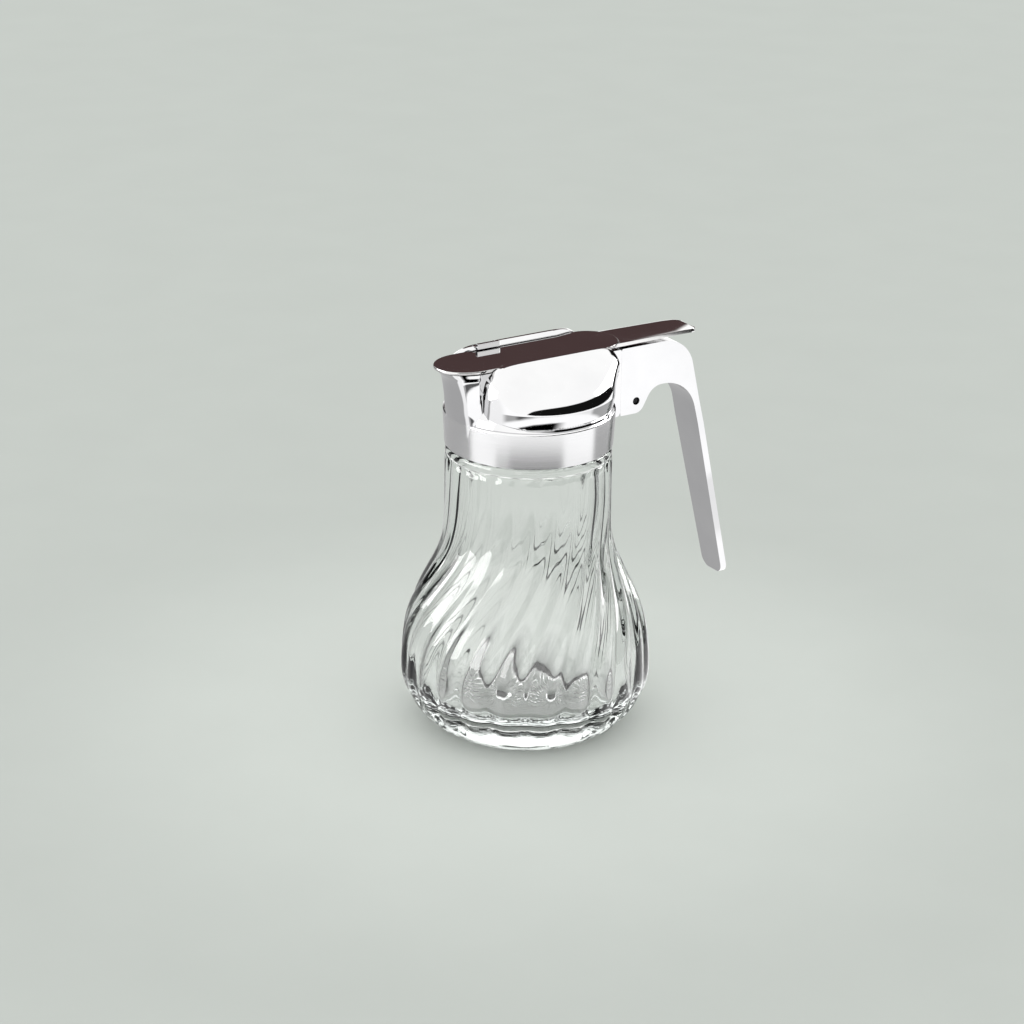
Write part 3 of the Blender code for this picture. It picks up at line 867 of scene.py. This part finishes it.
studio = {
    "floor": (0.385, 0.408, 0.388),
    "floorSize": 6.0,
    "grain": 25.0,
    "paintedLightNearFoot": (1.3, 0.02, 0.22),  # painted light: how much lighter the floor colour is made near the foot, where the jar's shadow falls, and from where to where
    "sky": (1.0, 1.0, 0.99),
    "skyStrength": 1.5,
    "backdrop": (0.58, 0.61, 0.58),  # seen past the edge of the floor
    "tentRadius": 0.45,
    "tentRings": (0.001, 0.1, 0.3, 0.9),  # heights
    "sides": 96,
    "eyeHeight": 0.12,  # elevations are measured from here, and azimuths from -y towards +x, in degrees
    "gapMiddle": 30.0,  # dark gap at the front right: azimuth of its middle
    "gapTop": 19.0,
    "gapFall": 0.0065,  # how fast its top falls off to both sides
    "gapGlow": 0.01,  # light left in the gaps
    "backGap": (97.0, 128.0, 36.0),  # gap at the back right: azimuths and top
    "wall": (0.093, 0.058, 0.058),  # painted reflection: a dark brown panel on the tent, which the lid mirrors
    "wallEdges": (131.0, 166.0, 13.0, 33.0),  # azimuths and elevations
    "darkPatch": (168.0, 226.0, 22.0, 0.04),  # painted dark reflection at the back left: azimuths, top, share of light
    # painted reflections of lamps, brighter patches of the tent's glow: azimuths, elevations and how much
    # stronger the tent glows there
    "paintedLampPatches": [(-126.0, -82.0, -20.0, 11.0, 6.0), (62.0, 94.0, -20.0, 24.0, 6.0)],
    # painted reflections of the table, lighter sheets on it: azimuths, distances from the axis in metres and
    # strength
    "paintedSheets": [
        (-76.0, 112.0, 0.04, 0.18, 1.55), (-76.0, 62.0, 0.25, 0.50, 1.55), (14.0, 62.0, 0.18, 0.25, 1.25),
        (62.0, 112.0, 0.32, 0.50, 1.5), (-114.0, -76.0, 0.04, 0.50, 1.35), (-58.0, 12.0, 0.18, 0.25, 0.15),
    ],
    "tableLight": 0.55,  # between the sheets
    "tableSpot": (-62.0, 14.0, 0.040, 0.140),  # unlit patch in front: azimuths and distances
    "sheetStart": 0.05,  # radius of the hole for the jar
    "sheetHeight": 0.0008,
    "lens": 111.668,
    "cameraPlace": (-0.56098, -0.86383, 0.480),
    "cameraTurn": (68.6206, -0.8345, -32.3748),
}


def softStep(tree, value, fromLow, fromHigh, low=0.0, high=1.0):
    inputs = {0: value, 1: fromLow, 2: fromHigh, 3: low, 4: high}
    return addNode(tree, "ShaderNodeMapRange", inputs, interpolation_type="SMOOTHSTEP").outputs[0]


def objectParts(tree):
    coords = addNode(tree, "ShaderNodeTexCoord")
    return addNode(tree, "ShaderNodeSeparateXYZ", {0: coords.outputs["Object"]}).outputs


def azimuthFromAxis(tree, part):
    angle = calc(tree, "ARCTAN2", part["X"], calc(tree, "MULTIPLY", part["Y"], -1.0))
    return calc(tree, "MULTIPLY", angle, 180 / math.pi)


def elevationOnTent(tree, part):
    rise = calc(tree, "SUBTRACT", part["Z"], studio["eyeHeight"])
    return calc(tree, "MULTIPLY", calc(tree, "ARCTAN2", rise, studio["tentRadius"]), 180 / math.pi)


def distanceFromAxis(tree, part):
    flat = addNode(tree, "ShaderNodeCombineXYZ", {"X": part["X"], "Y": part["Y"]}).outputs[0]
    return addNode(tree, "ShaderNodeVectorMath", {0: flat}, operation="LENGTH").outputs["Value"]


def within(tree, value, low, high, soft):
    # 1 between low and high, with soft edges
    off = calc(tree, "ABSOLUTE", calc(tree, "SUBTRACT", value, (low + high) / 2))
    half = (high - low) / 2
    return calc(tree, "SUBTRACT", 1.0, softStep(tree, off, half - soft, half + soft))


def glowMaterial(name):
    material = bpy.data.materials.new(name)
    material.use_nodes = True
    tree = material.node_tree
    tree.nodes.remove(tree.nodes["Principled BSDF"])
    glow = addNode(tree, "ShaderNodeEmission")
    tree.links.new(glow.outputs[0], tree.nodes["Material Output"].inputs["Surface"])
    material.cycles.emission_sampling = "NONE"
    return material, tree, glow


def makeFloor():
    half = studio["floorSize"] / 2
    mesh = bpy.data.meshes.new("paperFloor")
    corners = [(-half, -half, 0), (half, -half, 0), (half, half, 0), (-half, half, 0)]
    mesh.from_pydata(corners, [], [(0, 1, 2, 3)])
    floor = bpy.data.objects.new("paperFloor", mesh)
    bpy.context.scene.collection.objects.link(floor)
    material, tree, shader = newMaterial("palePaper", studio["floor"], 0.75)
    shader.inputs["Specular IOR Level"].default_value = 0.0
    grain = noiseAt(tree, studio["grain"], 3.0)
    pale = tuple(c * 1.02 for c in studio["floor"])
    paper = tint(tree, grain, studio["floor"], pale)
    # painted light: the paper's colour is lightened near the foot, where the jar's shadow falls
    light, start, end = studio["paintedLightNearFoot"]
    near = softStep(tree, distanceFromAxis(tree, objectParts(tree)), start, end, light, 1.0)
    paperWithPaintedLight = addNode(tree, "ShaderNodeVectorMath", {0: paper, "Scale": near}, operation="SCALE").outputs[0]
    tree.links.new(paperWithPaintedLight, shader.inputs["Base Color"])
    mesh.materials.append(material)


def makeWorld():
    world = bpy.data.worlds.new("studio")
    bpy.context.scene.world = world
    world.use_nodes = True
    tree = world.node_tree
    back = tree.nodes["Background"]
    back.inputs["Color"].default_value = (*studio["sky"], 1.0)
    back.inputs["Strength"].default_value = studio["skyStrength"]
    plain = addNode(tree, "ShaderNodeBackground", {"Color": (*studio["backdrop"], 1.0), "Strength": 1.0})
    seen = addNode(tree, "ShaderNodeLightPath").outputs["Is Camera Ray"]
    mixed = addNode(tree, "ShaderNodeMixShader", {0: seen, 1: back.outputs[0], 2: plain.outputs[0]})
    tree.links.new(mixed.outputs[0], tree.nodes["World Output"].inputs["Surface"])


def reflectionOnly(thing):
    # only reflections in the metal and on the glass show it
    thing.visible_camera = False
    thing.visible_diffuse = False
    thing.visible_shadow = False
    thing.visible_volume_scatter = False
    thing.visible_transmission = False


def makeTent():
    # painted reflections: a round tent that glows, seen only in reflections and lighting nothing, with dark
    # gaps
    sides = studio["sides"]
    rings = [ringAt(studio["tentRadius"], z, sides) for z in studio["tentRings"]]
    shape = bmesh.new()
    rows = [[shape.verts.new(point) for point in ring] for ring in rings]
    for low, high in zip(rows, rows[1:]):
        for i in range(sides):
            j = (i + 1) % sides
            shape.faces.new((low[j], low[i], high[i], high[j]))
    mesh = bpy.data.meshes.new("reflectionTent")
    shape.to_mesh(mesh)
    shape.free()
    tent = bpy.data.objects.new("reflectionTent", mesh)
    bpy.context.scene.collection.objects.link(tent)
    material, tree, glow = glowMaterial("paintedTentReflection")
    part = objectParts(tree)
    azimuth, elevation = azimuthFromAxis(tree, part), elevationOnTent(tree, part)

    def panel(left, right, bottom, top, softSide, softEnd, around=azimuth):
        width = within(tree, around, left, right, softSide)
        return calc(tree, "MULTIPLY", width, within(tree, elevation, bottom, top, softEnd))

    off = calc(tree, "SUBTRACT", azimuth, studio["gapMiddle"])
    edge = calc(tree, "MULTIPLY", calc(tree, "MULTIPLY", off, off), -studio["gapFall"])
    edge = calc(tree, "ADD", edge, studio["gapTop"])
    light = softStep(tree, calc(tree, "SUBTRACT", elevation, edge), -1.0, 1.0)
    left, right, top = studio["backGap"]
    back = panel(left, right, -90.0, top, 2.0, 3.0)
    light = calc(tree, "MULTIPLY", light, calc(tree, "SUBTRACT", 1.0, back))
    left, right, top, share = studio["darkPatch"]
    fullTurn = calc(tree, "FLOORED_MODULO", azimuth, 360.0)  # the painted dark patch reaches past 180 degrees
    darkPatch = panel(left, right, -90.0, top, 1.0, 2.0, fullTurn)
    light = calc(tree, "MULTIPLY", light, calc(tree, "MULTIPLY_ADD", darkPatch, share - 1.0, 1.0))
    # painted highlights: the lamp patches make the tent glow brighter where metal and glass mirror it
    for left, right, bottom, top, strength in studio["paintedLampPatches"]:
        lampPatch = panel(left, right, bottom, top, 3.0, 3.0)
        light = calc(tree, "MULTIPLY", light, calc(tree, "MULTIPLY_ADD", lampPatch, strength - 1.0, 1.0))
    light = calc(tree, "MULTIPLY_ADD", light, studio["skyStrength"], studio["gapGlow"])
    inputs = {0: studio["sky"], "Scale": light}
    tentGlow = addNode(tree, "ShaderNodeVectorMath", inputs, operation="SCALE").outputs[0]
    # painted reflection: the dark brown panel that the lid mirrors
    wall = panel(*studio["wallEdges"], 1.5, 1.5)
    seen = addNode(tree, "ShaderNodeMix", {0: wall, 6: tentGlow, 7: (*studio["wall"], 1.0)}, data_type="RGBA")
    tree.links.new(seen.outputs[2], glow.inputs["Color"])
    mesh.materials.append(material)
    reflectionOnly(tent)


def makeTableReflection():
    # painted reflections: what the metal mirrors of the table, as glowing sheets round the jar that light
    # nothing
    mesh = bpy.data.meshes.new("tableReflection")
    level, sides = studio["sheetHeight"], studio["sides"]
    inner, outer = ringAt(studio["sheetStart"], level, sides), ringAt(studio["tentRadius"], level, sides)
    faces = [(i, (i + 1) % sides, sides + (i + 1) % sides, sides + i) for i in range(sides)]
    mesh.from_pydata(inner + outer, [], faces)
    sheet = bpy.data.objects.new("tableReflection", mesh)
    bpy.context.scene.collection.objects.link(sheet)
    material, tree, glow = glowMaterial("paintedTableReflection")
    part = objectParts(tree)
    azimuth, distance = azimuthFromAxis(tree, part), distanceFromAxis(tree, part)
    strength = studio["tableLight"]
    for low, high, near, far, light in studio["paintedSheets"]:
        share = within(tree, azimuth, low, high, 5.0)
        share = calc(tree, "MULTIPLY", share, within(tree, distance, near, far, 0.01))
        strength = calc(tree, "MULTIPLY_ADD", share, light - studio["tableLight"], strength)
    low, high, near, far = studio["tableSpot"]
    spot = within(tree, azimuth, low, high, 12.0)
    spot = calc(tree, "MULTIPLY", spot, within(tree, distance, near, far, 0.004))
    strength = calc(tree, "MULTIPLY", strength, calc(tree, "SUBTRACT", 1.0, spot))
    tree.links.new(strength, glow.inputs["Strength"])
    mesh.materials.append(material)
    reflectionOnly(sheet)


def makeCamera():
    data = bpy.data.cameras.new("camera")
    data.lens = studio["lens"]
    data.sensor_width = 36.0
    data.clip_start = 0.01
    data.clip_end = 20.0
    camera = bpy.data.objects.new("camera", data)
    bpy.context.scene.collection.objects.link(camera)
    camera.location = studio["cameraPlace"]
    camera.rotation_euler = [math.radians(angle) for angle in studio["cameraTurn"]]
    bpy.context.scene.camera = camera


makeFloor()
makeWorld()
makeTent()
makeTableReflection()
makeCamera()
bpy.context.scene.view_settings.view_transform = "Standard"
print("studio made")
